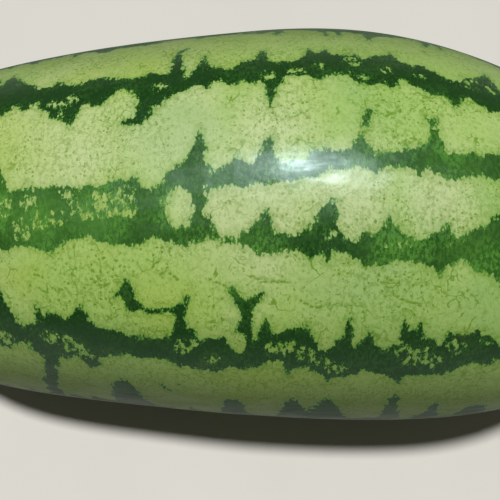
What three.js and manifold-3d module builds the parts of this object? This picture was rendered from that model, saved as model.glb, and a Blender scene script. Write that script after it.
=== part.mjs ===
/**
 * A long striped watermelon, as picked, lying on the small flat spot that it grew on.
 *
 * Millimetres, +Z up. +X runs along the fruit from its stem end to its blossom end, and the blossom
 * half bends towards -Y. The origin is the centre of the flat spot, under the middle of the weight.
 */
import * as THREE from "three";
import { mergeVertices } from "three/addons/utils/BufferGeometryUtils.js";
import Module from "manifold-3d";

// Driving dimensions of the fruit. A station is a place along its axis, from -1 at the stem end to 1
// at the blossom end.
const LENGTH = 500;
const WIDTH = 238; // across, at the widest station
const FLATTENING = 0.972; // height over width
const LEAN = 0.1; // moves the widest station towards the blossom end
const SHOULDERS = 0.19; // blunter ends than an ellipsoid's
const TAPER = -0.28; // slims the blossom end and fills the stem end
const BEND = 19.5; // how far the blossom end's tip stands aside
const REST_STATION = -0.01; // the station that touches the ground, under the middle of the weight
const FLAT_DEPTH = 1.4; // how much of the round belly the flat spot takes away

// The shallow pits round the stem and round the blossom scar.
const STEM_PIT = { depth: 5, radius: 22 };
const BLOSSOM_PIT = { depth: 3, radius: 15 };

// The rind's gentle unevenness, as waves: how many half waves run along it, how many whole ones
// around it, where they start (radians) and how high they stand. They die out towards the belly.
const UNDULATIONS = [
  { along: 1, around: 5, start: 1.0, height: 0.45 },
  { along: 1.5, around: 3, start: -0.2, height: 0.5 },
  { along: 2, around: 2, start: 4.45, height: 0.6 },
  { along: 3, around: 4, start: 0.8, height: 0.5 },
];

// Driving dimensions of the stem, a dry five-ribbed stub cut from the vine.
const STEM_LENGTH = 34;
const STEM_RADIUS = 4.3; // of its neck
const FOOT_FLARE = 3.2; // what the foot adds to the neck's radius where it meets the rind
const FOOT_HEIGHT = 5; // how fast the flare dies away
const END_SWELL = 1.3; // what the cut end adds to the neck's radius
const RIBS = 5;
const RIB_DEPTH = 0.09; // of the radius there
const ROOT_RADIUS = 4;
const ROOT_DEPTH = 6; // how deep the root sits in the rind
const CLEARANCE = 0.3; // between the root and its socket, all round
const FOOT_GAP = 0.8; // from the bottom of the pit to the foot, which clears the rounder rind round it

// Facets
const AROUND = 64;
const ALONG = 52;
const CROWDING = 0.45; // how much closer the rows stand at the two ends than in the middle
const STEM_AROUND = 30;
const STEM_ALONG = 14;

const wasm = await Module();
wasm.setup();

// Solid and mesh

function solidOf(geometry) {
  const bare = geometry.clone();
  bare.deleteAttribute("normal");
  bare.deleteAttribute("uv");
  const merged = mergeVertices(bare, 1e-4);
  return new wasm.Manifold(
    new wasm.Mesh({
      numProp: 3,
      vertProperties: merged.attributes.position.array,
      triVerts: new Uint32Array(merged.index.array),
    }),
  );
}

function geometryOf(solid) {
  const { vertProperties, triVerts } = solid.getMesh();
  const geometry = new THREE.BufferGeometry();
  geometry.setAttribute("position", new THREE.BufferAttribute(vertProperties, 3));
  geometry.setIndex(new THREE.BufferAttribute(triVerts, 1));
  geometry.computeVertexNormals();
  return geometry;
}

// Moves each vertex of a geometry to where place puts it.
function reshape(geometry, place) {
  const position = geometry.attributes.position;
  const vertex = new THREE.Vector3();
  for (let i = 0; i < position.count; i++) {
    place(vertex.fromBufferAttribute(position, i));
    position.setXYZ(i, vertex.x, vertex.y, vertex.z);
  }
  return geometry;
}

// The fruit's form

// How full the fruit is at a station, before its widest station is scaled to WIDTH.
function fullness(station) {
  const ellipse = Math.sqrt(Math.max(0, 1 - station ** 2));
  return ellipse * (1 + LEAN * station + SHOULDERS * station ** 2 + TAPER * station ** 3);
}

const fullest = Math.max(...Array.from({ length: 401 }, (_, i) => fullness(i / 200 - 1)));

function radiusAt(station) {
  return ((WIDTH / 2) * fullness(station)) / fullest;
}

// How far the axis stands towards -Y: not at all in the stem half, then ever more to the tip.
function bendAt(station) {
  return station > 0 ? BEND * Math.sin((Math.PI / 2) * station) ** 2 : 0;
}

function undulationAt(station, angle) {
  const fade = ((1 - station ** 2) * (1 + Math.cos(angle))) / 2;
  const sum = UNDULATIONS.reduce(
    (total, { along, around, start, height }) =>
      total + height * Math.sin(Math.PI * along * station + around * angle + start),
    0,
  );
  return fade * sum;
}

function pit({ depth, radius }, distance) {
  return depth * Math.exp(-((distance / radius) ** 3));
}

// Takes a point of the unit sphere, poles on X, to the rind. Angles around the axis start at the top
// and grow towards +Y.
function placeOnRind(point) {
  const turn = Math.acos(THREE.MathUtils.clamp(-point.x, -1, 1));
  const crowded = turn - (CROWDING / 2) * Math.sin(2 * turn);
  const station = -Math.cos(crowded);
  const angle = Math.atan2(point.y, point.z);
  const radius = Math.max(0, radiusAt(station) + undulationAt(station, angle));
  const dent = station < 0 ? pit(STEM_PIT, radius) : -pit(BLOSSOM_PIT, radius);
  point.set(
    (LENGTH / 2) * station + dent,
    radius * Math.sin(angle) - bendAt(station),
    radius * Math.cos(angle) * FLATTENING,
  );
}

// The slope of the belly at the station that touches the ground is the tilt that lays it flat.
const step = 0.001;
const slope =
  (radiusAt(REST_STATION + step) - radiusAt(REST_STATION - step)) / (step * LENGTH);
const tilt = Math.atan(FLATTENING * slope);

// From the fruit's own axis to the way it lies, with its lowest point FLAT_DEPTH under the ground.
const lie = new THREE.Matrix4().makeRotationY(-tilt);
const touch = new THREE.Vector3(
  (LENGTH / 2) * REST_STATION,
  -bendAt(REST_STATION),
  -FLATTENING * radiusAt(REST_STATION),
).applyMatrix4(lie);
lie.premultiply(
  new THREE.Matrix4().makeTranslation(-touch.x, -touch.y, -touch.z - FLAT_DEPTH),
);

// The stem's place on the fruit's own axis: the bottom of its pit.
const stemSeat = -LENGTH / 2 + STEM_PIT.depth;

function makeFruit() {
  const sphere = new THREE.SphereGeometry(1, AROUND, ALONG).rotateZ(Math.PI / 2);
  const rind = reshape(sphere, placeOnRind).applyMatrix4(lie);

  const socketDepth = ROOT_DEPTH + CLEARANCE;
  const socketLength = socketDepth + STEM_PIT.depth;
  const socket = new THREE.CylinderGeometry(
    ROOT_RADIUS + CLEARANCE,
    ROOT_RADIUS + CLEARANCE,
    socketLength,
    STEM_AROUND,
  )
    .rotateZ(Math.PI / 2)
    .translate(stemSeat + socketDepth - socketLength / 2, 0, 0)
    .applyMatrix4(lie);

  const ground = new THREE.BoxGeometry(LENGTH, WIDTH, WIDTH).translate(0, 0, -WIDTH / 2);
  return solidOf(rind).subtract(solidOf(socket)).subtract(solidOf(ground));
}

// The stem stands out along the fruit's axis, then turns up and aside as it dried.
function makeStem() {
  const foot = stemSeat - FOOT_GAP;
  const line = new THREE.CatmullRomCurve3([
    new THREE.Vector3(foot, 0, 0),
    new THREE.Vector3(foot - STEM_LENGTH * 0.3, 0, 0.5),
    new THREE.Vector3(foot - STEM_LENGTH * 0.62, 1.5, 3.5),
    new THREE.Vector3(foot - STEM_LENGTH * 0.9, 5, 10),
  ]);
  const frames = line.computeFrenetFrames(STEM_ALONG, false);

  // Takes a point of the unit cylinder, axis on Y, to the stub's skin or its cut faces.
  const placeOnStem = (point) => {
    const share = THREE.MathUtils.clamp(point.y + 0.5, 0, 1);
    const ring = Math.round(share * STEM_ALONG);
    const fromFoot = share * STEM_LENGTH;
    const plain =
      STEM_RADIUS + FOOT_FLARE * Math.exp(-fromFoot / FOOT_HEIGHT) + END_SWELL * share ** 3;
    const rib = 1 + RIB_DEPTH * Math.cos(RIBS * Math.atan2(point.z, point.x));
    const across = point.x * plain * rib;
    const aside = -point.z * plain * rib;
    line.getPointAt(share, point);
    point.addScaledVector(frames.normals[ring], across);
    point.addScaledVector(frames.binormals[ring], aside);
  };
  const stub = reshape(
    new THREE.CylinderGeometry(1, 1, 1, STEM_AROUND, STEM_ALONG),
    placeOnStem,
  ).applyMatrix4(lie);

  const rootLength = ROOT_DEPTH + 2 * FOOT_GAP;
  const root = new THREE.CylinderGeometry(ROOT_RADIUS, ROOT_RADIUS, rootLength, STEM_AROUND)
    .rotateZ(Math.PI / 2)
    .translate(stemSeat + ROOT_DEPTH - rootLength / 2, 0, 0)
    .applyMatrix4(lie);
  return solidOf(stub).add(solidOf(root));
}

// The middle of the flat spot, from the corners that the cut left on the ground.
function flatSpotCentre(geometry) {
  const position = geometry.attributes.position;
  const spot = new THREE.Box3();
  const corner = new THREE.Vector3();
  for (let i = 0; i < position.count; i++) {
    corner.fromBufferAttribute(position, i);
    if (corner.z < 1e-3) spot.expandByPoint(corner);
  }
  return spot.getCenter(new THREE.Vector3());
}

const fruit = new THREE.Mesh(
  geometryOf(makeFruit()),
  new THREE.MeshStandardMaterial({ color: 0x86a860, roughness: 0.38, metalness: 0 }),
);
fruit.name = "fruit";

const stem = new THREE.Mesh(
  geometryOf(makeStem()),
  new THREE.MeshStandardMaterial({ color: 0x8c7a4b, roughness: 0.85, metalness: 0 }),
);
stem.name = "stem";

const watermelon = new THREE.Group();
watermelon.add(fruit, stem);
const centre = flatSpotCentre(fruit.geometry);
watermelon.position.set(-centre.x, -centre.y, 0);

export default watermelon;
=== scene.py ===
"""A long striped watermelon on its flat spot, with the dry stub of its stem, in a plain pale studio.

Laid out as a Blender add-on and run as a script. Metres, +Z up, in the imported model's frame: +X runs
from the stem end to the blossom end. A station is a place along the fruit, from -1 at the stem end
to 1 at the blossom end. An angle goes round it, 0 on top and growing towards +Y.
"""
import math

import bpy
import numpy as np
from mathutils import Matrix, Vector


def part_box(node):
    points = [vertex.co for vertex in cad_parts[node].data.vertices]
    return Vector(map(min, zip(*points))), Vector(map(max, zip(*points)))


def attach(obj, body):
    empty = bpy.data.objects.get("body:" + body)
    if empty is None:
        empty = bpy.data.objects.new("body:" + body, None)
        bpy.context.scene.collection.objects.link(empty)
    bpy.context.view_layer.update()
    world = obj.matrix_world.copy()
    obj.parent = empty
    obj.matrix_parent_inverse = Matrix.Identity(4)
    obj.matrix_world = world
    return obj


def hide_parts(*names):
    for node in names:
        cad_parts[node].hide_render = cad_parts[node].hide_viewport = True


bl_info = {
    "name": "Striped watermelon",
    "version": (1, 0, 0),
    "blender": (4, 5, 0),
    "location": "View3D > Sidebar > Watermelon",
    "description": "Builds a long striped watermelon with its stem stub, and a plain studio round it",
    "category": "Object",
}

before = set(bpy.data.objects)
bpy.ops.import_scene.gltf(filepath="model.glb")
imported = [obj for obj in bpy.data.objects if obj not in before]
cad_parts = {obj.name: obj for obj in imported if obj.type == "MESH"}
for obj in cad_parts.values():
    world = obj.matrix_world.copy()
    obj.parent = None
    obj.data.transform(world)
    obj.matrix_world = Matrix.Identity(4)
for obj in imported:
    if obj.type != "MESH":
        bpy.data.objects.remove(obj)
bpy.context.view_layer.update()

MM = 0.001

# The fruit's form, beyond the sizes that a user would change.
LEAN = 0.1
SHOULDERS = 0.19
TAPER = -0.28
REST_STATION = -0.01
FLAT_DEPTH = 1.4 * MM
STEM_PIT = (5 * MM, 22 * MM)
BLOSSOM_PIT = (3 * MM, 15 * MM)

# Waves of the rind: half waves along it, whole ones round it, start in radians and height.
UNDULATIONS = (
    (1.0, 5, 1.0, 0.45 * MM),
    (1.5, 3, -0.2, 0.5 * MM),
    (2.0, 2, 4.45, 0.6 * MM),
    (3.0, 4, 0.8, 0.5 * MM),
)

# The rind's grid is closer round the middle of its upper near side, where the stripes are finest.
ROWS = 290
COLUMNS = 340
ROW_CROWDING = 0.4
COLUMN_CROWDING = 0.35
CROWDED_ANGLE = math.radians(-20)

# The stem's centre line on the fruit's own axis: share of its length, then mm aside and up.
STEM_LINE = ((0.0, 0.0, 0.0), (0.3, 0.0, 0.5), (0.62, 1.5, 3.5), (0.9, 5.0, 10.0))
STEM_RINGS = 120
STEM_COLUMNS = 120
FOOT_GAP = 0.8 * MM  # from the bottom of the pit to the foot
ROOT_DEPTH = 4 * MM
POLE_STEP = 1 * MM  # from the first and the last ring to the points that close them
FLARE_HEIGHT = 5 * MM  # how fast the foot's flare dies away
GREEN_HEIGHT = 6 * MM  # and how fast its green does
END_SWELL = 1.3 * MM  # what the cut end adds to the neck's radius
STEM_TWIST = 0.7  # radians that the ribs turn from foot to cut
GROOVE_SHARE = 0.9  # of the plain radius, between two ribs
RIB_SHARE = 0.17  # what a rib adds to that
FIBRE_COUNTS = (17, 26, 37)  # round the stalk
FIBRE_SLANT = 2.5  # radians that the fibres wander from foot to cut
FIBRE_DEPTH = 0.12 * MM
# The rings that close the cut: share of its radius, and mm past the cut.
CUT_RINGS = ((0.93, 0.2), (0.6, -0.6), (0.25, -0.9))

# The studio. The camera's place and lens give the photograph's view.
FLOOR_HALF = 8.0
LAMP_TURN = (-0.115, -0.05, 0)  # radians away from straight down
CAMERA_PLACE = (-0.00151, -0.15195, 0.49331)
CAMERA_DOWN = 70.547  # degrees below level
CAMERA_LENS = 46.08  # mm
SENSOR_WIDTH = 36

# Stripes are drawn on the rind laid out flat: mm along from the middle, and degrees round.
DEGREE = 2.08  # mm of rind in a degree, round the widest part
REACH = 14.0  # mm from an edge past which its distance no longer matters
ENDS = 247.0  # mm to where the stripes stop at each end
SPONGE_FADE = 4  # mm past a spongy place's radius to where it ends
TOOTH_FOOT = 2.0  # half width in mm
TOOTH_TIP = 0.1
VEIN_HALF_WIDTH = 0.5
LEAST_NARROWING = 0.15  # the share of their depth that the stripes keep at the tips

# How an edge tears where no outline gives it, in mm along and degrees round.
EDGE_STEP = 3.4
EDGE_SHIFT = 1.3
EDGE_JITTER = 0.6
JOIN_GAP = 4  # mm left between a drawn edge and the torn one that carries it on
WANDER_LENGTHS = (5, 11, 26)
WANDER_HEIGHTS = (0.4, 1.3)
TOOTH_SHARE = 0.17  # of the points
TOOTH_HEIGHTS = (2.5, 6.5)
LOBE_PULL = 0.8
ANY_PHASE = (0, 6.3)  # radians, a little over a whole turn

# What each hidden stripe carries: pairs of spongy places, and twigs beside it. In mm.
SPONGY_COUNT = 15
SPONGY_ENDS = 210
SPONGY_ASIDE = 0.6  # of the stripe's half width
SPONGY_RADII = (1, 5)
TWIN_STEP = 6
TWIN_RADII = (1, 4)
TWIG_COUNT = 7
TWIG_ENDS = 190
TWIG_LEAN = 6
TWIG_HEIGHTS = (8, 20)
TWIG_HALF_WIDTHS = (2.4, 1.2, 0.4)  # at its foot, its knee and its tip

# The belly's pale spot: mm along to its middle, and half its size in mm and in degrees.
BELLY_MIDDLE = 5
BELLY_HALF_LENGTH = 150
BELLY_HALF_ANGLE = 46
BELLY_GAIN = 1.8
# Painted shade: the rind's colour is darkened away from its lit side, from this far round it, and
# fully at twice as far.
LIT_ANGLE = -12
SHADE_START = 30

# The two edges of each stripe that faces the camera, as its teeth and bays go.
FAR_UPPER = (
    (-133, 25), (-129, 31.5), (-126, 28.5), (-123, 26), (-117, 25), (-108, 21), (-103, 20.5),
    (-99, 23.3), (-95, 21.7), (-88, 20.3), (-84, 21.5), (-70, 21.7), (-60, 20.2), (-52, 20.3),
    (-50, 22), (-46, 20.8), (-42, 20), (-40, 21.5), (-38, 24.5), (-37.5, 27.5), (-36.5, 31),
    (-34, 27), (-33.5, 22), (-31, 18.5), (-28, 19.5), (-25, 21.5), (-22, 26.5), (-21, 23.5),
    (-19, 21.5), (-16, 22), (-10, 19.5), (-7, 21), (-2, 23), (5, 24), (8.5, 27), (10, 23),
    (13, 22), (17, 21.5), (22, 22.5), (28, 23), (30, 25.5), (32, 27.5), (34, 26), (40, 28),
    (43, 26.5), (47, 25.5), (55, 26.5), (58, 24.5), (61, 26), (70, 27), (73, 28.5), (76, 26),
    (79, 25), (82, 23), (88, 25), (94, 22.5), (100, 19.5), (107, 20.5), (110, 23), (117, 25),
    (122, 27.8), (125, 23),
)
FAR_LOWER = (
    (-126, 11.5), (-121, 14.5), (-117, 15.5), (-114, 13), (-109, 15.5), (-104, 12.5),
    (-99, 10.5), (-96, 8.7), (-95, 12), (-91, 10), (-92, 8.5), (-88, 6.2), (-85, 9.5),
    (-84, 12), (-80, 12.5), (-73, 11.8), (-70, 14), (-67, 16), (-64, 17), (-57, 15.5),
    (-53, 11), (-54, 7), (-60, 5), (-56, 4), (-50, 5.5), (-48, 7.5), (-45, 9.5), (-41, 10.5),
    (-38, 12.5), (-30, 13.5), (-27, 15.5), (-24, 16), (-19, 14), (-17, 16), (-13, 16.5),
    (-8, 14.5), (-5, 14), (-2, 15.5), (2, 14), (5, 15), (9, 14), (11, 12), (12, 7.3), (15, 13),
    (17, 15.5), (22, 17), (30, 16.5), (37, 16), (41, 17.5), (50, 17.5), (53, 15.5), (61, 14),
    (68, 16), (71, 14.5), (75, 18), (83, 15.5), (87, 14), (94, 14.5), (98, 13.5), (101, 11),
    (106, 14.5), (110, 14.5), (116, 12), (123, 13),
)
MIDDLE_UPPER = (
    (-121, -7), (-117, -10.5), (-114, -12), (-106, -11), (-99, -12), (-92, -10.8), (-84, -12),
    (-82, -13), (-75, -11), (-72, -12.5), (-65, -11), (-57, -10.5), (-54, -9.5), (-51, -11),
    (-45, -13), (-41, -11.5), (-38, -10), (-33, -7.5), (-29, -7), (-25, -3), (-22, 0),
    (-20, -2), (-19.5, -5.5), (-17, -9.5), (-10, -8.5), (-4, -6), (-1, -7.5), (3, -7.5),
    (5.5, -6), (8, -3.5), (11, -2.5), (13, -5), (15, -7), (19, -8), (28, -6.5), (33, -4.5),
    (37, -4), (45, -5), (51, -3), (54, -1), (57, -3.5), (61, -5), (70, -4), (80, -2),
    (84, -1), (86, 0.5), (88, 4), (90, 1.5), (90.5, -1), (93, -2.5), (97, -3.3), (101, -2.3),
    (111, -2), (117, -0.5),
)
MIDDLE_LOWER = (
    (-120, -27.5), (-113, -25.8), (-108, -25), (-102, -26), (-95, -27), (-88, -25),
    (-80, -23.3), (-76, -23), (-68, -24.5), (-60, -25.5), (-55, -26), (-45, -23.5),
    (-38, -25), (-28, -25.5), (-23, -24.5), (-14, -24.5), (-4, -25.3), (0, -26.5), (10, -28),
    (15, -27), (25, -26.5), (29, -28.5), (34, -26.3), (37, -28.3), (40, -26.5), (47, -28),
    (55, -29.5), (65, -29), (73, -27.8), (81, -28.5), (88, -30.7), (91, -28.5), (99, -26.5),
    (103, -28), (107, -29.5), (114, -30.5),
)
# The long light gap that parts the middle stripe in two.
GAP_UPPER = (
    (-20, -15), (-17, -13.3), (-13, -12.5), (-4, -12.3), (8, -12), (22, -11.5), (30, -10.5),
    (40, -8.5), (46, -8.8), (50, -7.5), (55, -7.5), (59, -8.7), (66, -7.5), (74, -7),
    (79, -8.5), (82, -7), (85, -7), (91, -9), (101, -8.3), (109, -6.3), (112, -7), (116, -7),
)
GAP_LOWER = (
    (-20, -18), (-18, -21), (-13, -24), (-5, -24), (2, -22.5), (5, -21.5), (7, -19.5),
    (9.5, -18.5), (11, -21), (13, -23.5), (22, -23.8), (28, -22.8), (32, -21), (34, -18.5),
    (38, -16.6), (41.5, -16.4), (40.5, -20), (42, -22.5), (45, -24.5), (49, -25), (54, -23),
    (59, -22.5), (63, -21), (65, -19.5), (72, -22.5), (79, -24.3), (83, -22.5), (87, -21.5),
    (91, -20), (94, -22), (96, -23.5), (103, -21), (107, -19), (109, -19.5), (115, -16),
)
GAP_END = (
    (126, -8), (134, -6), (139, -8.5), (150, -7.5), (163, -9.5), (170, -7), (182, -10),
    (197, -11.5), (205, -14), (192, -17), (184, -16), (176, -19), (166, -17.5), (158, -21),
    (148, -18), (137, -19.5), (126, -16.5),
)
NEAR_UPPER = (
    (-123, -39.5), (-121, -41), (-119.5, -43), (-118, -46), (-114, -49.5), (-110, -48),
    (-105, -46.5), (-99, -43.5), (-95, -44), (-91, -46), (-86, -43.5), (-82, -41.5),
    (-80, -43), (-79, -45.5), (-75, -47), (-67, -48), (-59, -49), (-50, -50), (-41, -49),
    (-36, -47), (-29, -47), (-24, -49.5), (-16, -49.5), (-12, -48.5), (-10, -52),
    (-5, -53.5), (-2, -52), (2, -50), (4, -48), (8, -45), (10, -47), (14, -48), (20, -46.5),
    (27, -46.5), (30, -48.5), (34, -52), (37, -53), (42, -49.5), (45, -49), (47.5, -44.5),
    (49, -50), (51, -51.5), (54, -49), (57, -47.5), (59, -50), (65, -52), (69, -50.5),
    (73, -49), (73, -43.5), (76, -45.5), (80.5, -44.5), (81, -48), (84, -47.5), (88, -48),
    (90, -50), (93, -48.5), (95, -46.5), (105, -46), (109, -45), (112, -46.5), (118, -49),
    (120, -50),
)
NEAR_LOWER = (
    (-130, -57), (-125, -57), (-116, -54), (-108, -60), (-111, -66), (-115, -72), (-118, -80),
    (-120, -88), (-117, -96), (-109, -96), (-111, -88), (-110, -80), (-107, -72), (-103, -64),
    (-98, -58), (-96, -60), (-92, -58), (-86, -58), (-84, -62), (-78, -61), (-78, -58),
    (-71, -56), (-61, -55), (-58, -56), (-48, -55.5), (-42, -56.5), (-38, -58.5), (-33, -58),
    (-26, -59), (-19, -60), (-15, -58.5), (-10, -58), (-6, -59), (2, -58.5), (8, -56),
    (16, -56.5), (18.5, -60), (21, -58.5), (28, -58), (34, -60.5), (38, -62), (48, -61),
    (55, -59), (61, -58.8), (66, -60), (73, -62.3), (76, -60.5), (86, -60), (95, -59.5),
    (99, -58.5), (101, -56.5), (109, -55), (115, -56), (121, -54),
)
# Teeth that rise from the low stripe, which itself lies just out of the camera's sight.
LOW_TEETH = (
    ((-79, -80), (-76, -70), (-70, -66), (-64, -69), (-60, -80), (-57, -88), (-50, -96),
     (-86, -96), (-81, -88)),
    ((-17, -77), (-15, -73), (-8, -73), (-6, -77), (-3, -88), (3, -96), (-26, -96), (-20, -88)),
    ((14, -81), (16, -75), (20, -71), (25, -74), (28, -81), (29, -88), (31, -96), (7, -96),
     (12, -88)),
    ((29, -81), (33, -74), (38, -70.5), (43, -73), (48, -81), (51, -88), (57, -96), (27, -96),
     (28, -88)),
    ((69, -81), (70, -70), (73, -68), (76, -72), (78, -81), (81, -88), (87, -96), (61, -96),
     (66, -88)),
    ((92, -81), (94, -73), (97, -72), (99, -80), (103, -88), (108, -96), (83, -96), (89, -88)),
    ((112, -82), (116, -77), (123, -77), (126, -82), (129, -88), (134, -96), (103, -96),
     (109, -88)),
)
# Places where a dark stripe is spongy and light flecks show through: where, and radius in mm.
SPONGY_PLACES = (
    (-93, 13, 3), (-89, 15, 3), (-98, 14, 3), (-43, 16, 3), (36, 20.5, 2), (11, 17, 3),
    (25, 17.8, 4), (53, 22.9, 4), (49, 17.5, 2), (57, 17, 2), (69.5, 20.5, 2), (86, 20, 2),
    (111, 22, 3), (111.5, 19.5, 2), (122, 21, 3), (-105, -15, 4), (-108, -21.5, 6),
    (-98, -19.5, 5), (-91, -19, 4), (-81, -16.5, 4), (-74, -17.5, 5), (-70, -14, 3),
    (-64.5, -16, 6), (-58, -14, 5), (-56, -17, 4), (-119, -16, 5), (-85, -12.5, 4),
    (-20, -13, 2), (64, -24.5, 2), (72, -25, 2), (91.5, -23.5, 2), (38, -23.5, 2),
    (-127, -54, 5), (-101, -51.5, 4), (-93, -53, 5), (-88, -55.5, 5), (-84, -56.5, 4),
    (-33.5, -52, 4), (-26, -51, 2), (-19, -55.5, 3), (10, -52, 3), (15, -52.5, 4), (21, -51.5, 3),
    (26, -53.5, 4), (29.5, -55, 2), (36, -56, 3), (41, -58, 4), (44.5, -57.5, 3), (75, -52, 4),
    (79, -54.5, 5), (83, -52.5, 4), (89, -55, 4), (97, -49, 2), (101, -50, 2), (97, -52, 2),
    (114, -47.5, 3),
)
# Light islands in the dark: a closed outline each.
LIGHT_ISLANDS = (
    ((-39.5, -15.3), (-35, -13), (-32, -11), (-27, -13.3), (-24, -17), (-26.5, -20.7),
     (-33, -22.3), (-38, -20.7)),
    ((-29, -21), (-27, -20.5), (-27, -22), (-29, -22.2)),
    ((-128, -60), (-118, -61), (-113, -64), (-118, -67), (-128, -66)),
)
# Where the light ground is palest: where, and radius in mm. The ones near the highlight are partly
# painted glare; the rest are the rind's own paler tone.
PALE_AND_GLARE_PLACES = (
    (-95, 3, 55), (-40, 6, 40), (0, -18, 34), (45, -15, 24), (90, -14, 22), (10, 3, 26),
    (170, 8, 30), (-60, 70, 60), (80, 150, 60), (60, -120, 50),
)
# Where the light ground is a cooler green: where, and radius in mm.
COOL_PLACES = (
    (100, -38, 40), (60, -37, 30), (125, -14, 26), (-32, 6, 24), (-60, -57, 22), (60, 12, 22),
    (-180, -30, 50), (180, 40, 50), (-20, 105, 60), (30, -150, 60),
)
# Where it is a yellower green: where, and radius in mm.
WARM_PLACES = (
    (-122, 4, 36), (-124, -16, 18), (-102, -19, 20), (-74, -18, 20), (-90, 27, 26),
    (-50, 28, 26), (-10, 29, 22), (-112, -33, 16), (-40, -41, 18), (5, -66, 24),
    (-140, 100, 60), (90, 110, 50), (-60, -130, 60),
)
# Where the stripes are the most vivid green: where, and radius in mm.
VIVID_PLACES = (
    (-125, -16, 22), (-100, -19, 26), (-70, -18, 26), (-35, -16, 24), (-12, -12, 22),
    (25, -9, 24), (55, -6, 20), (95, -5, 26), (0, -27, 18), (70, -26, 20), (105, -27, 24),
    (180, -10, 30), (-190, 30, 30), (40, 90, 70),
)
# Dark twigs and blots between the stripes: places along each, with half its width in mm there.
TWIGS = (
    ((-58.5, -34.5, 0.9), (-58, -37, 3.2), (-56, -41, 2.6)),
    ((-57, -37, 1.2), (-61, -37.5, 0.9), (-64, -38.5, 0.6)),
    ((-54, -40, 1.1), (-48, -42.2, 1.0), (-40, -41.6, 0.9), (-33, -42, 1.4), (-31, -41, 1.3),
     (-29, -38.3, 0.6)),
    ((-33, -41.5, 2.8), (-33, -44, 1.9), (-32.5, -49, 4.0)),
    ((-8, -36.3, 0.8), (-4, -39.5, 2.0), (-1, -42, 2.6), (-1, -44, 2.2), (-3, -46.5, 2.6),
     (-6, -47, 0.8)),
    ((6.5, -37.5, 0.8), (1, -40, 2.0), (-1, -42, 2.6)),
    ((-0.5, -44, 1.6), (-0.5, -52, 1.3)),
    ((-105, -41.5, 0.7), (-105, -46, 1.1)),
    ((-36.5, 30.5, 1.1), (-32, 33.5, 0.6)),
    ((88, 4, 0.7), (85.5, 6, 0.5)),
    ((88, 4, 0.7), (90.5, 6, 0.5)),
    ((56, 2.5, 1.4), (58, 6.3, 0.8)),
    ((-48, -66.5, 0.7), (-46, -69.5, 0.8), (-42, -71, 0.5)),
    ((-38, -66.5, 0.5), (-35, -68, 0.6)),
)
# Slim teeth that stand out from the stripes' edges: where, and the angles of their foot and tip.
TEETH = (
    (-129, 27, 32.5), (-36.8, 26, 32), (-22, 22.5, 27.8), (8.5, 23.5, 28.3), (32, 25, 29),
    (40, 25.5, 29.3), (73, 26.5, 29.8), (122, 25.5, 29), (-96, 11.5, 7.8), (-88, 9, 5.3),
    (12, 12.5, 6.3), (101, 13, 10.2), (-22, -3, 1.6), (11, -5.5, -1.3), (54, -4, 0.3),
    (88, -0.5, 4.8), (-82, -12.5, -14), (9.5, -21.5, -18), (39.5, -19, -15.6),
    (65, -22.5, -18.8), (91, -22.5, -19.2), (29, -26.5, -29.6), (37, -27, -29.6),
    (88, -28.5, -31.8), (-82, -44, -40.6), (-36, -49, -45.6), (8, -47.5, -44), (47.5, -48, -43.2),
    (57, -49, -46.3), (73.4, -48, -42.6), (80.6, -47, -43.6), (95, -48, -45.3), (-84, -59, -63.3),
    (18.5, -58, -61.3), (38, -60, -63.3), (73, -60.5, -63.6), (-104, -46, -42.5), (27, -48, -45),
)
# Thin green veins in the light ground.
VEINS = (
    ((-18, -34), (-13, -35), (-8, -36.5)),
    ((0, -33), (8, -34.5), (20, -34.5)),
    ((-42, -33), (-38, -32), (-33, -34)),
    ((-93, 0), (-90, 1.5), (-86, 0)),
    ((-104, -33), (-99, -34)),
    ((60, 7), (66, 5), (72, 7)),
    ((20, 3), (27, 5), (31, 3)),
    ((-75, -34), (-70, -36), (-66, -35)),
    ((24, -39), (31, -41), (36, -40)),
    ((66, -36), (72, -38), (80, -38.5)),
)

# The stripes that the camera doesn't see: middle angle and half width, in degrees.
HIDDEN_STRIPES = (
    (49.5, 5.5), (86, 7.0), (121, 6.0), (157, 7.5), (-168, 6.0), (-131, 7.5), (-94, 6.0),
)
SEED = 11


def srgb(red, green, blue):
    """A colour given as 0 to 255 screen values, in Blender's linear ones."""
    share = np.array([red, green, blue]) / 255
    linear = np.where(share <= 0.04045, share / 12.92, ((share + 0.055) / 1.055) ** 2.4)
    return tuple(float(v) for v in linear)


def user_colour(name, description, red, green, blue):
    """A colour that a user can change, given as 0 to 255 screen values."""
    return bpy.props.FloatVectorProperty(
        name=name, description=description, default=srgb(red, green, blue), subtype="COLOR"
    )


def user_size(name, description, default):
    """A size that a user can change, in metres."""
    return bpy.props.FloatProperty(
        name=name, description=description, default=default, unit="LENGTH"
    )


class MelonForm(bpy.types.PropertyGroup):
    """Sizes of the fruit."""

    length: user_size("Length", "From tip to tip", 0.5)
    width: user_size("Width", "Across the widest part", 0.238)
    flattening: bpy.props.FloatProperty(
        name="Flattening", description="Height over width", default=0.972, subtype="FACTOR"
    )
    bend: user_size("Bend", "How far the blossom end's tip stands aside", 0.0195)


class StemForm(bpy.types.PropertyGroup):
    """Sizes of the stem stub."""

    length: user_size("Length", "From the foot to the cut", 0.034)
    radius: user_size("Neck radius", "Radius of the neck", 0.0043)
    foot_flare: user_size("Foot flare", "What the foot adds to the neck's radius", 0.0032)
    ribs: bpy.props.IntProperty(name="Ribs", description="Ribs round the stalk", default=5)


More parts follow.
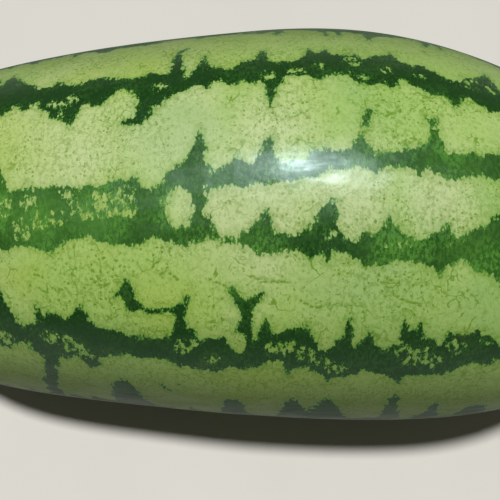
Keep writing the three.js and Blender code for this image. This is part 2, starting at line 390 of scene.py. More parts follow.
class RindColours(bpy.types.PropertyGroup):
    """Colours of the rind."""

    ground: user_colour("Ground", "Light green between the stripes", 156, 187, 98)
    # Partly painted glare near the highlight; also the ground's own pale tone and the belly spot's.
    pale: user_colour("Pale ground", "Palest places of the light green", 184, 200, 141)
    cool: user_colour("Cool ground", "Bluer places of the light green", 132, 172, 108)
    warm: user_colour("Warm ground", "Yellower places of the light green", 160, 183, 76)
    fleck: user_colour("Fleck", "Small green flecks and veins in the ground", 100, 138, 34)
    # Painted shade: the olive that the rind's sides turn to away from the lit side.
    shade: user_colour("Shaded ground", "Olive green low on the fruit's sides", 74, 94, 26)
    edge: user_colour("Stripe edge", "Middle green at the stripes' edges", 78, 131, 48)
    stripe: user_colour("Stripe", "Dark green stripes", 22, 57, 18)
    sheen: user_colour("Sheen", "Cool white that the waxy skin reflects", 222, 243, 252)
    bleached: user_colour("Ground spot", "Creamy yellow where it lay on the soil", 204, 190, 124)
    scar: user_colour("Cork", "Corky brown of the scar and round the stem", 150, 122, 78)
    crust: user_colour("Crust", "Dark brown crust in the cork", 78, 58, 36)


class StemColours(bpy.types.PropertyGroup):
    """Colours of the stem stub."""

    straw: user_colour("Straw", "Dry fibres on the ribs", 158, 138, 92)
    bark: user_colour("Bark", "Dark brown between the ribs", 84, 66, 38)
    green: user_colour("Foot green", "Green left at the foot", 104, 118, 58)


class StudioLook(bpy.types.PropertyGroup):
    """The floor and the light."""

    floor: user_colour("Floor", "Colour of the floor", 204, 201, 193)
    lamp_angle: bpy.props.FloatProperty(
        name="Lamp angle",
        description="How wide the soft lamp looks from the fruit",
        default=math.radians(5),
        subtype="ANGLE",
    )
    lamp_strength: bpy.props.FloatProperty(
        name="Lamp strength", description="Strength of the soft lamp", default=3.42
    )
    room_colour: user_colour("Room colour", "Colour of the room's even light", 255, 246, 233)
    room_light: bpy.props.FloatProperty(
        name="Room light", description="Strength of the room's even light", default=0.07
    )
    backdrop: bpy.props.FloatProperty(
        name="Backdrop", description="How bright the backdrop looks beyond that", default=0.6
    )


# Form


def fullness(station):
    """How full the fruit is at a station: an ellipse with a leaning, shouldered, tapered profile."""
    ellipse = np.sqrt(np.clip(1 - station**2, 0, None))
    return ellipse * (1 + LEAN * station + SHOULDERS * station**2 + TAPER * station**3)


def radius_at(form, station):
    """Radius at a station: the fullness scaled so that the widest station is the fruit's width."""
    return form.width / 2 * fullness(station) / fullness(np.linspace(-1, 1, 401)).max()


def bend_at(form, station):
    """How far the axis stands towards -Y: the bend times the squared sine of the way to the tip."""
    return form.bend * np.sin(math.pi / 2 * np.clip(station, 0, 1)) ** 2


def pit(size, distance):
    """Depth of an end's pit: its depth times exp of minus the cubed share of its radius."""
    depth, radius = size
    return depth * np.exp(-((distance / radius) ** 3))


def rind_on_axis(form, station, angle):
    """The rind about its own axis: circles of the station's radius plus its waves, bent and pitted."""
    waves = sum(
        height * np.sin(math.pi * along * station + around * angle + start)
        for along, around, start, height in UNDULATIONS
    )
    fade = (1 - station**2) * (1 + np.cos(angle)) / 2
    radius = np.clip(radius_at(form, station) + fade * waves, 0, None)
    dent = np.where(station < 0, pit(STEM_PIT, radius), -pit(BLOSSOM_PIT, radius))
    x = form.length / 2 * station + dent
    y = radius * np.sin(angle) - bend_at(form, station)
    z = radius * np.cos(angle) * form.flattening
    return np.stack([x, y, z], -1)


def lie(form, points):
    """Turns points about Y until the belly is level at the rest station, and sets it on the floor."""
    step = 0.001
    around = np.array([REST_STATION - step, REST_STATION + step])
    rise = form.flattening * np.diff(radius_at(form, around))[0] / (step * form.length)
    tilt = math.atan(rise)
    turn = np.array(
        [
            [math.cos(tilt), 0, -math.sin(tilt)],
            [0, 1, 0],
            [math.sin(tilt), 0, math.cos(tilt)],
        ]
    )
    touch = rind_on_axis(form, np.array(REST_STATION), np.array(math.pi)) @ turn.T
    placed = points @ turn.T - touch
    placed[..., 2] -= FLAT_DEPTH
    return placed


def own_origin(form):
    """Where the flat spot's centre is before it becomes the origin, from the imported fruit's box."""
    station = np.linspace(-1, 1, 400)[:, None]
    angle = np.radians(np.arange(0, 360, 2))[None, :]
    points = lie(form, rind_on_axis(form, station, angle)).reshape(-1, 3)
    low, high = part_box("fruit")
    middle = (np.array(low) + np.array(high)) / 2
    offset = (points.min(0) + points.max(0)) / 2 - middle
    offset[2] = 0
    return offset


# Stripes


def to_flat(points):
    """Outline points in mm and degrees, as mm both ways."""
    return np.asarray(points, float)[:, :2] * (1, DEGREE)


def depth_inside(outline, x, y):
    """How deep points lie inside a closed outline, less than zero outside it.

    The depth is the distance to the nearest side. A point is inside when a line from it to the
    right crosses an odd number of sides.
    """
    nearest = np.full(x.shape, np.inf)
    inside = np.zeros(x.shape, bool)
    for (ax, ay), (bx, by) in zip(outline, np.roll(outline, -1, axis=0)):
        dx, dy = bx - ax, by - ay
        share = ((x - ax) * dx + (y - ay) * dy) / max(dx * dx + dy * dy, 1e-9)
        share = np.clip(share, 0, 1)
        away = (x - ax - share * dx) ** 2 + (y - ay - share * dy) ** 2
        nearest = np.minimum(nearest, away)
        if ay != by:
            level = (ay > y) != (by > y)
            inside ^= level & (x < ax + (y - ay) * dx / dy)
    return np.where(inside, 1, -1) * np.sqrt(nearest)


def depth_in_stroke(stroke, x, y):
    """How deep points lie inside a line that changes width: its half width less the distance."""
    deepest = np.full(x.shape, -REACH)
    for (ax, ay, a), (bx, by, b) in zip(stroke[:-1], stroke[1:]):
        dx, dy = bx - ax, by - ay
        share = np.clip(((x - ax) * dx + (y - ay) * dy) / (dx * dx + dy * dy), 0, 1)
        away = np.hypot(x - ax - share * dx, y - ay - share * dy)
        deepest = np.maximum(deepest, a + share * (b - a) - away)
    return deepest


class StripeMap:
    """What is drawn on the laid-out rind, for each of its points.

    depth is how deep a point lies inside the dark stripes and twig how deep inside the twigs and
    teeth beside them, both in mm. sponge is 1 where a stripe is spongy and 0 where it isn't.
    """

    def __init__(self, along, degrees):
        self.along = along
        self.degrees = degrees
        self.depth = np.full(along.shape, -REACH)
        self.twig = np.full(along.shape, -REACH)
        self.sponge = np.zeros(along.shape)

    def near(self, shape):
        """The points within reach of a shape, with their places about the shape's middle angle."""
        low, high = shape[:, :2].min(0), shape[:, :2].max(0)
        middle = (low[1] + high[1]) / 2
        half_turn = 180 * DEGREE
        y = (self.degrees * DEGREE - middle + half_turn) % (2 * half_turn) - half_turn + middle
        close = (self.along > low[0] - REACH) & (self.along < high[0] + REACH)
        close &= (y > low[1] - REACH) & (y < high[1] + REACH)
        return close, self.along[close], y[close]

    def darken(self, outline):
        """Adds an outline to the stripes: the deeper of the two depths."""
        close, x, y = self.near(outline)
        self.depth[close] = np.maximum(self.depth[close], depth_inside(outline, x, y))

    def lighten(self, outline):
        """Cuts an outline out of the stripes: the lesser of the depth and the way to the cut."""
        close, x, y = self.near(outline)
        self.depth[close] = np.minimum(self.depth[close], -depth_inside(outline, x, y))

    def add_twig(self, stroke):
        """Adds a line with its half widths to the twigs: the deeper of the two depths."""
        close, x, y = self.near(stroke)
        self.twig[close] = np.maximum(self.twig[close], depth_in_stroke(stroke, x, y))

    def soften(self, x, angle, radius):
        """Makes a round place spongy: wholly inside the radius, and ever less past it."""
        spot = np.array([[x, angle * DEGREE, radius], [x + 0.1, angle * DEGREE, radius]])
        close, px, py = self.near(spot)
        sponge = np.clip(1 + depth_in_stroke(spot, px, py) / SPONGE_FADE, 0, 1)
        self.sponge[close] = np.maximum(self.sponge[close], sponge)


def torn_edge(random, start, stop, angle, outward):
    """Points of a stripe's edge from one place along the fruit to another, in mm and degrees.

    The edge wanders as three sines do. About one point in six is a tooth that stands outward, and
    the ones beside it pull in a little, so the light between two teeth reads as a round lobe.
    """
    count = max(3, round(abs(stop - start) / EDGE_STEP))
    along = np.linspace(start, stop, count) + random.uniform(-EDGE_SHIFT, EDGE_SHIFT, count)
    wander = sum(
        random.uniform(*WANDER_HEIGHTS) * np.sin(along / length + random.uniform(*ANY_PHASE))
        for length in WANDER_LENGTHS
    )
    teeth = np.where(random.random(count) < TOOTH_SHARE, random.uniform(*TOOTH_HEIGHTS, count), 0)
    pulled = LOBE_PULL * (np.roll(teeth, 1) > 0) + LOBE_PULL * (np.roll(teeth, -1) > 0)
    jitter = random.uniform(-EDGE_JITTER, EDGE_JITTER, count)
    return np.stack([along, angle + outward * (wander + teeth - pulled) + jitter], -1)


def continued(random, edge, outward):
    """A seen edge, carried on to both ends of the fruit in the same torn way."""
    edge = np.asarray(edge, float)
    first, last = edge[0], edge[-1]
    before = torn_edge(random, -ENDS, first[0] - JOIN_GAP, first[1], outward)
    after = torn_edge(random, last[0] + JOIN_GAP, ENDS, last[1], outward)
    return np.concatenate([before, edge, after])


def add_seen_stripes(stripes, random):
    """The stripes that face the camera, with all that is drawn in them and beside them."""
    for upper, lower in (
        (FAR_UPPER, FAR_LOWER),
        (MIDDLE_UPPER, MIDDLE_LOWER),
        (NEAR_UPPER, NEAR_LOWER),
    ):
        top = continued(random, upper, 1)
        bottom = continued(random, lower, -1)
        stripes.darken(to_flat(np.concatenate([top, bottom[::-1]])))
    gap = np.concatenate([GAP_UPPER, GAP_END, GAP_LOWER[::-1]])
    stripes.lighten(to_flat(gap))
    for tooth in LOW_TEETH:
        stripes.darken(to_flat(tooth))
    for twig in TWIGS:
        stripes.add_twig(np.asarray(twig, float) * (1, DEGREE, 1))
    for x, foot, tip in TEETH:
        tooth = [(x, foot * DEGREE, TOOTH_FOOT), (x, tip * DEGREE, TOOTH_TIP)]
        stripes.add_twig(np.array(tooth))
    for island in LIGHT_ISLANDS:
        stripes.lighten(to_flat(island))
    for x, angle, radius in SPONGY_PLACES:
        stripes.soften(x, angle, radius)


def add_hidden_stripes(stripes, random):
    """Stripes all round the rest of the fruit, with spongy places in them and twigs beside them."""
    for middle, half in HIDDEN_STRIPES:
        top = torn_edge(random, -ENDS, ENDS, middle + half, 1)
        bottom = torn_edge(random, -ENDS, ENDS, middle - half, -1)
        stripes.darken(to_flat(np.concatenate([top, bottom[::-1]])))
        for x in random.uniform(-SPONGY_ENDS, SPONGY_ENDS, SPONGY_COUNT):
            angle = middle + random.uniform(-SPONGY_ASIDE, SPONGY_ASIDE) * half
            stripes.soften(x, angle, random.uniform(*SPONGY_RADII))
            stripes.soften(x + TWIN_STEP, angle + 1, random.uniform(*TWIN_RADII))
        for x in random.uniform(-TWIG_ENDS, TWIG_ENDS, TWIG_COUNT):
            side = random.choice((-1, 1))
            foot = (middle + side * half) * DEGREE
            lean = random.uniform(-TWIG_LEAN, TWIG_LEAN)
            tall = side * random.uniform(*TWIG_HEIGHTS)
            xs = (x, x + lean * 0.4, x + lean)
            ys = (foot, foot + tall * 0.5, foot + tall)
            stripes.add_twig(np.stack([xs, ys, TWIG_HALF_WIDTHS], -1))


def hills(places, along, degrees):
    """The highest of soft hills, each exp of minus the squared share of its radius."""
    height = np.zeros(along.shape)
    for x, angle, radius in places:
        turn = ((degrees - angle + 180) % 360 - 180) * DEGREE
        height = np.maximum(height, np.exp(-((along - x) ** 2 + turn**2) / radius**2))
    return height


def vein_depth(along, degrees):
    """How deep points lie inside the thin veins, in mm."""
    veins = StripeMap(along, degrees)
    for vein in VEINS:
        line = to_flat(vein)
        half_widths = np.full((len(line), 1), VEIN_HALF_WIDTH)
        veins.add_twig(np.hstack([line, half_widths]))
    return veins.twig


# Meshes


def grid_faces(rows, columns):
    """Faces of a closed grid that has one point at each pole and rings of columns between them."""
    ring = 1 + columns * np.arange(rows - 1)[:, None]
    column = np.arange(columns)[None, :]
    beside = (column + 1) % columns
    quads = np.stack(
        [ring[:-1] + column, ring[1:] + column, ring[1:] + beside, ring[:-1] + beside], -1
    )
    start_pole = np.zeros_like(column)
    end_pole = start_pole + 1 + columns * (rows - 1)
    end_ring = end_pole - columns
    start = np.stack([start_pole, 1 + column, 1 + beside], -1)
    end = np.stack([end_ring + column, end_pole, end_ring + beside], -1)
    faces = (start.reshape(-1, 3), quads.reshape(-1, 4), end.reshape(-1, 3))
    return [face for group in faces for face in group.tolist()]


def make_piece(name, points, faces, attributes):
    """A smooth object in the scene from points, faces and one number per point for each attribute."""
    mesh = bpy.data.meshes.new(name)
    mesh.from_pydata(points, [], faces)
    for key, values in attributes.items():
        layer = mesh.attributes.new(key, "FLOAT", "POINT")
        layer.data.foreach_set("value", np.ascontiguousarray(values, np.float32))
    mesh.shade_smooth()
    if mesh.validate():
        raise RuntimeError(f"{name} has broken faces")
    piece = bpy.data.objects.new(name, mesh)
    bpy.context.collection.objects.link(piece)
    return piece


def closed(start, rings, end):
    """The start pole's value, the rings' values and the end pole's value as one list."""
    width = rings.shape[2:]
    parts = (start.reshape(1, *width), rings.reshape(-1, *width), end.reshape(1, *width))
    return np.concatenate(parts)


# Node trees


class Tree:
    """Adds nodes to a node tree and joins them. A socket is linked, and anything else is set."""

    def __init__(self, tree):
        self.nodes = tree.nodes
        self.links = tree.links

    def feed(self, socket, value):
        if isinstance(value, bpy.types.NodeSocket):
            self.links.new(value, socket)
        else:
            socket.default_value = value

    def add(self, kind, inputs, output=0, **settings):
        node = self.nodes.new(kind)
        for name, value in settings.items():
            setattr(node, name, value)
        for key, value in inputs.items():
            self.feed(node.inputs[key], value)
        return node.outputs[output]

    def math(self, operation, first, second=0.0):
        return self.add("ShaderNodeMath", {0: first, 1: second}, operation=operation)

    def plus(self, total, *others):
        for other in others:
            total = self.math("ADD", total, other)
        return total

    def times(self, product, *others):
        for other in others:
            product = self.math("MULTIPLY", product, other)
        return product

    def scaled(self, value, factor, offset=0.0):
        inputs = {0: value, 1: factor, 2: offset}
        return self.add("ShaderNodeMath", inputs, operation="MULTIPLY_ADD")

    def vector(self, operation, first, second, third=(0.0, 0.0, 0.0)):
        inputs = {0: first, 1: second, 2: third}
        return self.add("ShaderNodeVectorMath", inputs, operation=operation)

    def ramp(self, value, low, high, start=0.0, end=1.0):
        """Eases from start where the value is low to end where it is high."""
        inputs = {"Value": value, 1: low, 2: high, 3: start, 4: end}
        return self.add("ShaderNodeMapRange", inputs, interpolation_type="SMOOTHSTEP")

    def mix(self, factor, first, second):
        node = self.nodes.new("ShaderNodeMix")
        node.data_type = "RGBA"
        self.feed(node.inputs[0], factor)
        self.feed(node.inputs[6], opaque(first))
        self.feed(node.inputs[7], opaque(second))
        return node.outputs[2]

    def place(self):
        return self.add("ShaderNodeTexCoord", {}, "Object")

    def attribute(self, name):
        return self.add("ShaderNodeAttribute", {}, "Fac", attribute_name=name)

    def noise(self, place, size, detail=2.0, roughness=0.5):
        """Noise from 0 to 1 with lumps about as wide as size, in metres."""
        inputs = {"Vector": place, "Scale": 0.5 / size, "Detail": detail, "Roughness": roughness}
        return self.add("ShaderNodeTexNoise", inputs)

    def cells(self, place, size, output="Distance", feature="F1"):
        """Cells about as wide as size: the distance to a cell's middle, or a cell's own colour."""
        inputs = {"Vector": place, "Scale": 1 / size}
        return self.add("ShaderNodeTexVoronoi", inputs, output, feature=feature)

    def shaken(self, place, scale, detail, reach):
        """A place that noise has moved, by up to reach along each axis."""
        inputs = {"Vector": place, "Scale": scale, "Detail": detail}
        noise = self.add("ShaderNodeTexNoise", inputs, "Color")
        return self.vector("MULTIPLY_ADD", noise, (reach, reach, reach), place)

    def bump(self, shader, height, distance, strength):
        inputs = {"Height": height, "Distance": distance, "Strength": strength}
        self.feed(shader["Normal"], self.add("ShaderNodeBump", inputs))


def opaque(colour):
    return colour if isinstance(colour, bpy.types.NodeSocket) else (*colour, 1.0)


def weathering_group():
    """A group that gives soft mottling and fine dust specks, for any skin that grew outdoors."""
    name = "Weathering"
    if name in bpy.data.node_groups:
        return bpy.data.node_groups[name]
    group = bpy.data.node_groups.new(name, "ShaderNodeTree")
    for label, kind, default in (
        ("Place", "NodeSocketVector", None),
        ("Patch size", "NodeSocketFloat", 0.02),
        ("Speck size", "NodeSocketFloat", 0.001),
        ("Speck share", "NodeSocketFloat", 0.1),
    ):
        socket = group.interface.new_socket(label, in_out="INPUT", socket_type=kind)
        if default is not None:
            socket.default_value = default
    for label in ("Mottling", "Specks"):
        group.interface.new_socket(label, in_out="OUTPUT", socket_type="NodeSocketFloat")
    tree = Tree(group)
    given = tree.nodes.new("NodeGroupInput").outputs
    patch_scale = tree.math("DIVIDE", 0.5, given["Patch size"])
    noise = {"Vector": given["Place"], "Scale": patch_scale, "Detail": 3.0, "Roughness": 0.55}
    mottling = tree.ramp(tree.add("ShaderNodeTexNoise", noise), 0.3, 0.7)
    speck_scale = tree.math("DIVIDE", 1.0, given["Speck size"])
    cell = {"Vector": given["Place"], "Scale": speck_scale}
    lot = tree.add("ShaderNodeSeparateColor", {0: tree.add("ShaderNodeTexVoronoi", cell, "Color")})
    chosen = tree.math("LESS_THAN", lot, given["Speck share"])
    round_spot = tree.ramp(tree.add("ShaderNodeTexVoronoi", cell, "Distance"), 0.42, 0.2)
    out = tree.nodes.new("NodeGroupOutput").inputs
    tree.feed(out["Mottling"], mottling)
    tree.feed(out["Specks"], tree.times(chosen, round_spot))
    return group


def weathered(tree, place, patch, speck, share):
    """Places the weathering group and gives its two outputs."""
    node = tree.nodes.new("ShaderNodeGroup")
    node.node_tree = weathering_group()
    for key, value in (
        ("Place", place),
        ("Patch size", patch),
        ("Speck size", speck),
        ("Speck share", share),
    ):
        tree.feed(node.inputs[key], value)
    return node.outputs["Mottling"], node.outputs["Specks"]


def new_material(name):
    """A node material with its tree and its Principled shader."""
    material = bpy.data.materials.new(name)
    material.use_nodes = True
    shader = material.node_tree.nodes["Principled BSDF"]
    return material, Tree(material.node_tree), shader.inputs


def torn_depth(tree, place, across, fibres):
    """How deep a point lies inside the stripes once their edges are torn and their sponge holed."""
    # Round lobes of light bite in at three sizes, and the fibres tear a hairline.
    depth = tree.attribute("stripe")
    for space, size, reach in ((place, 0.006, 1.6), (across, 0.0028, 1.4), (across, 0.0013, 0.8)):
        depth = tree.plus(depth, tree.scaled(tree.cells(space, size), 2 * reach, -reach))
    depth = tree.plus(depth, tree.scaled(fibres, 2.4, -1.2))
    splinters = tree.scaled(tree.cells(across, 0.0017), 2.0, -0.9)
    twig = tree.plus(tree.attribute("twig"), tree.scaled(fibres, 4.0, -2.0), splinters)
    depth = tree.math("MAXIMUM", depth, twig)
    # In its spongy places a stripe is shallow, and flecks of the light ground show through.
    sponge = tree.times(tree.attribute("sponge"), tree.ramp(depth, 0.3, 3.5))
    holes = tree.scaled(tree.noise(across, 0.0019, 4.0, 0.65), -18.0, 5.15)
    shallow = tree.math("MINIMUM", depth, tree.ramp(sponge, 0.0, 0.3, 20.0, 4.0))
    return tree.plus(shallow, tree.times(sponge, holes))


def freckled(tree, place, fibres, shade, pale):
    """How rough the ground is, and its freckles: the coarser and the finer ones where it is rough."""
    rough = tree.ramp(tree.noise(place, 0.013), 0.36, 0.64, 0.45, 1.0)
    # Painted shade: more freckles on the shaded sides, to darken them.
    rough = tree.times(rough, tree.scaled(shade, 0.5, 1.0), tree.ramp(pale, 0.4, 1.2, 1.0, 0.85))
    coarse = tree.ramp(fibres, 0.48, 0.64, 0.0, 0.6)
    fine = tree.ramp(tree.noise(place, 0.0012, 3.0, 0.8), 0.5, 0.62, 0.0, 0.55)
    return rough, tree.times(tree.math("MAXIMUM", coarse, fine), rough)


def fine_veins(tree, place, pale):
    """Fine crooked veins: a broken net, loose hairs and the drawn ones, fainter where it is pale."""
    net = tree.cells(tree.shaken(place, 90.0, 3.0, 0.012), 0.013, "Distance", "DISTANCE_TO_EDGE")
    net = tree.times(tree.ramp(net, 0.035, 0.008), tree.ramp(tree.noise(place, 0.007), 0.54, 0.64))
    hairs = tree.math("ABSOLUTE", tree.scaled(tree.noise(place, 0.0035), 1.0, -0.5))
    broken = tree.ramp(tree.noise(place, 0.006, 1.0), 0.56, 0.66)
    hairs = tree.times(tree.ramp(hairs, 0.03, 0.008), broken)
    drawn = tree.plus(tree.attribute("vein"), tree.scaled(tree.noise(place, 0.0008), 1.6, -0.8))
    veins = tree.math("MAXIMUM", tree.math("MAXIMUM", net, hairs), tree.ramp(drawn, -0.6, 0.1))
    return tree.times(veins, tree.ramp(pale, 0.5, 1.1, 0.85, 0.4))


def rind_material(colours):
    """Waxy light green rind with torn dark stripes, flecks, veins, a ground spot and corky ends."""
    material, tree, shader = new_material("Rind")
    place = tree.place()
    across = tree.vector("MULTIPLY", place, (1.7, 1.0, 1.0))
    fibres = tree.noise(across, 0.0013, 3.0, 0.7)
    mottling, specks = weathered(tree, tree.shaken(place, 700.0, 2.0, 0.0022), 0.022, 0.002, 0.34)
    depth = torn_depth(tree, place, across, fibres)
    shade = tree.attribute("shade")
    warm = tree.attribute("warm")
    vivid = tree.attribute("vivid")
    to_scar = tree.attribute("to_scar")

    # The light ground: paler patches, partly painted glare, cooler and warmer patches, small flecks,
    # and fine crooked veins.
    # The painted shade makes the ground less pale on the sides.
    pale = tree.plus(tree.scaled(mottling, 0.45), tree.attribute("pale"), tree.scaled(shade, -0.4))
    ground = tree.mix(tree.ramp(pale, 0.05, 1.2), colours.ground, colours.pale)
    patchy = tree.ramp(tree.noise(place, 0.018), 0.3, 0.6, 0.15, 0.55)
    ground = tree.mix(tree.times(tree.attribute("cool"), patchy), ground, colours.cool)
    ground = tree.mix(tree.times(warm, patchy), ground, colours.warm)
    rough, freckles = freckled(tree, place, fibres, shade, pale)
    ground = tree.mix(freckles, ground, colours.fleck)
    ground = tree.mix(tree.times(specks, rough), ground, colours.fleck)
    ground = tree.mix(fine_veins(tree, place, pale), ground, colours.fleck)
    ground = tree.mix(tree.ramp(depth, -5.0, -0.8, 0.0, 0.3), ground, colours.fleck)
    # Painted shade: the ground turns olive on the sides away from the lit side.
    ground = tree.mix(tree.scaled(shade, 0.8), ground, colours.shade)

    # The stripes: a narrow middle green, then the dark, mottled and grained with the middle green.
    patch = tree.ramp(tree.noise(place, 0.009), 0.4, 0.66, 0.25, 1.0)
    patch = tree.times(patch, tree.ramp(fibres, 0.42, 0.6), tree.scaled(vivid, 0.85, 0.2))
    patch = tree.plus(patch, tree.scaled(vivid, 0.38), tree.times(warm, tree.scaled(vivid, 0.3)))
    crumbs = tree.ramp(tree.cells(across, 0.0021), 0.4, 0.15)
    crumbs = tree.times(crumbs, tree.ramp(depth, 5.0, 0.8))
    dark = tree.mix(patch, colours.stripe, colours.edge)
    dark = tree.mix(tree.scaled(crumbs, 0.4), dark, colours.edge)
    # Painted shade: the stripes are darker on the sides away from the lit side.
    dark = tree.mix(tree.scaled(shade, 0.4), dark, colours.stripe)
    skin = tree.mix(tree.ramp(depth, -0.9, -0.1), ground, colours.edge)
    skin = tree.mix(tree.ramp(depth, -0.2, 0.4), skin, dark)

    # The belly that lay on the soil.
    uneven = tree.scaled(tree.noise(place, 0.014, 4.0, 0.6), 1.0, -0.5)
    belly = tree.ramp(tree.plus(tree.attribute("belly"), uneven), 0.1, 0.9)
    bleached = tree.mix(tree.scaled(mottling, 0.3), colours.bleached, colours.pale)
    bleached = tree.mix(tree.scaled(freckles, 0.3), bleached, colours.scar)
    skin = tree.mix(tree.scaled(belly, 0.8), skin, bleached)

    # The corky places at the two ends, each in a plain green halo, with rings in the scar.
    ragged = tree.scaled(tree.noise(place, 0.002, 3.0, 0.7), 8.0, -4.0)
    near_scar = tree.plus(to_scar, ragged)
    near_stem = tree.plus(tree.attribute("to_stem"), ragged)
    cork = tree.math("MAXIMUM", tree.ramp(near_scar, 6.2, 4.8), tree.ramp(near_stem, 10.5, 8.5))
    halo = tree.math("MAXIMUM", tree.ramp(near_scar, 16.0, 5.0), tree.ramp(near_stem, 22.0, 9.0))
    rings = tree.math("SINE", tree.scaled(to_scar, 4.4))
    corky = tree.mix(tree.ramp(rings, -0.6, 0.9, 0.0, 0.45), colours.scar, colours.crust)
    corky = tree.mix(tree.ramp(to_scar, 1.7, 0.9), corky, colours.crust)
    corky = tree.mix(tree.ramp(fibres, 0.45, 0.6, 0.0, 0.6), corky, colours.crust)
    skin = tree.mix(tree.scaled(halo, 0.55), skin, colours.ground)
    tree.feed(shader["Base Color"], tree.mix(cork, skin, corky))

    # The waxy gloss runs in streaks, and is duller on the belly, low on the sides and on the cork.
    wiped = tree.vector("MULTIPLY_ADD", place, (0.3, 1.0, 1.0), (0.3, 0.1, 0.0))
    gloss = tree.ramp(tree.noise(wiped, 0.004, 3.0, 0.6), 0.35, 0.65, 0.25, 0.37)
    gloss = tree.plus(gloss, tree.scaled(belly, 0.12), tree.scaled(shade, 0.3))
    tree.feed(shader["Roughness"], tree.plus(gloss, tree.scaled(cork, 0.35)))
    shader["Specular Tint"].default_value = (*colours.sheen, 1.0)
    shader["Specular IOR Level"].default_value = 0.31

    height = tree.plus(tree.noise(place, 0.007), tree.scaled(tree.noise(place, 0.001), 0.08))
    crust = tree.plus(tree.scaled(fibres, 1.2), tree.scaled(rings, 0.35, 0.6))
    tree.bump(shader, tree.plus(height, tree.times(cork, crust)), 0.0005, 0.7)
    return material


def stem_material(colours):
    """Dry straw-coloured stalk, dark between its ribs, greener at the foot and pithy at the cut."""
    material, tree, shader = new_material("Dry stem")
    place = tree.place()
    mottling, specks = weathered(tree, place, 0.004, 0.0006, 0.2)
    rib = tree.attribute("rib")
    fibre = tree.attribute("fibre")
    foot = tree.attribute("foot")
    skin = tree.mix(tree.ramp(rib, 0.15, 0.85), colours.bark, colours.straw)
    skin = tree.mix(tree.scaled(fibre, 0.55), skin, colours.bark)
    skin = tree.mix(tree.scaled(mottling, 0.4), skin, colours.straw)
    skin = tree.mix(tree.scaled(specks, 0.5), skin, colours.bark)
    skin = tree.mix(tree.ramp(foot, 0.2, 1.0, 0.0, 0.8), skin, colours.green)
    tree.feed(shader["Base Color"], skin)
    tree.feed(shader["Roughness"], tree.scaled(mottling, 0.1, 0.78))
    grain = tree.noise(place, 0.0004, 3.0)
    height = tree.plus(tree.scaled(fibre, -1.0), tree.scaled(grain, 0.6))
    tree.bump(shader, height, 0.0002, 0.8)
    return material


def floor_material(colour):
    """Matt pale floor with the faintest mottling."""
    material, tree, shader = new_material("Floor")
    mottling, _ = weathered(tree, tree.place(), 0.08, 0.004, 0.0)
    darker = tuple(0.97 * part for part in colour)
    tree.feed(shader["Base Color"], tree.mix(mottling, tuple(colour), darker))
    shader["Roughness"].default_value = 0.7
    return material


# Pieces


class MELON_OT_rind(bpy.types.Operator):
    """Builds the fruit with its striped rind"""

    bl_idname = "melon.rind"
    bl_label = "Fruit"

    def execute(self, context):
        form = context.scene.melon_form
        turn = np.linspace(0, math.pi, ROWS + 1)[1:-1]
        turn = turn + ROW_CROWDING / 2 * np.sin(2 * turn)
        station = -np.cos(turn)[:, None]
        even = np.linspace(-math.pi, math.pi, COLUMNS, endpoint=False)
        angle = (even - COLUMN_CROWDING * np.sin(even - CROWDED_ANGLE))[None, :]
        station, angle = np.broadcast_arrays(station, angle)

        tips = rind_on_axis(form, np.array([-1.0, 1.0]), np.zeros(2))
        points = closed(tips[0], rind_on_axis(form, station, angle), tips[1])
        points = lie(form, points) - own_origin(form)
        points[:, 2] = np.clip(points[:, 2], 0, None)

        flat_station = closed(np.array(-1.0), station[..., None], np.array(1.0)).ravel()
        flat_angle = closed(np.array(0.0), angle[..., None], np.array(0.0)).ravel()
        along = flat_station * form.length / 2 / MM
        degrees = np.degrees(flat_angle)
        stripes = StripeMap(along, degrees)
        random = np.random.default_rng(SEED)
        add_seen_stripes(stripes, random)
        add_hidden_stripes(stripes, random)
        narrowing = radius_at(form, flat_station) * 2 / form.width

        aside = np.abs((degrees % 360) - 180) / BELLY_HALF_ANGLE
        belly = 1 - np.hypot(aside, (along - BELLY_MIDDLE) / BELLY_HALF_LENGTH)
        to_stem = np.linalg.norm(points - points[0], axis=1) / MM
        to_scar = np.linalg.norm(points - points[-1], axis=1) / MM
        attributes = {
            "stripe": stripes.depth * np.clip(narrowing, LEAST_NARROWING, 1),
            "sponge": stripes.sponge,
            "twig": stripes.twig,
            "vein": vein_depth(along, degrees),
            "pale": hills(PALE_AND_GLARE_PLACES, along, degrees),
            "cool": hills(COOL_PLACES, along, degrees),
            "warm": hills(WARM_PLACES, along, degrees),
            "vivid": hills(VIVID_PLACES, along, degrees),
            # Painted shade: 0 on the lit side, rising to 1 away from it.
            "shade": np.clip(np.abs(degrees - LIT_ANGLE) / SHADE_START - 1, 0, 1),
            "belly": np.clip(BELLY_GAIN * belly, 0, 1),
            "to_stem": to_stem,
            "to_scar": to_scar,
        }
        fruit = make_piece("melon_rind", points, grid_faces(ROWS, COLUMNS), attributes)
        fruit.data.materials.append(rind_material(context.scene.rind_colours))
        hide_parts("fruit")
        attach(fruit, "root")
        return {"FINISHED"}


def smooth_line(knots, share):
    """Points on a smooth curve through the knots, one cubic of time through each coordinate."""
    time = np.linspace(0, 1, len(knots))
    powers = np.vander(time, len(knots))
    factors = np.linalg.solve(powers, knots)
    return np.vander(share, len(knots)) @ factors


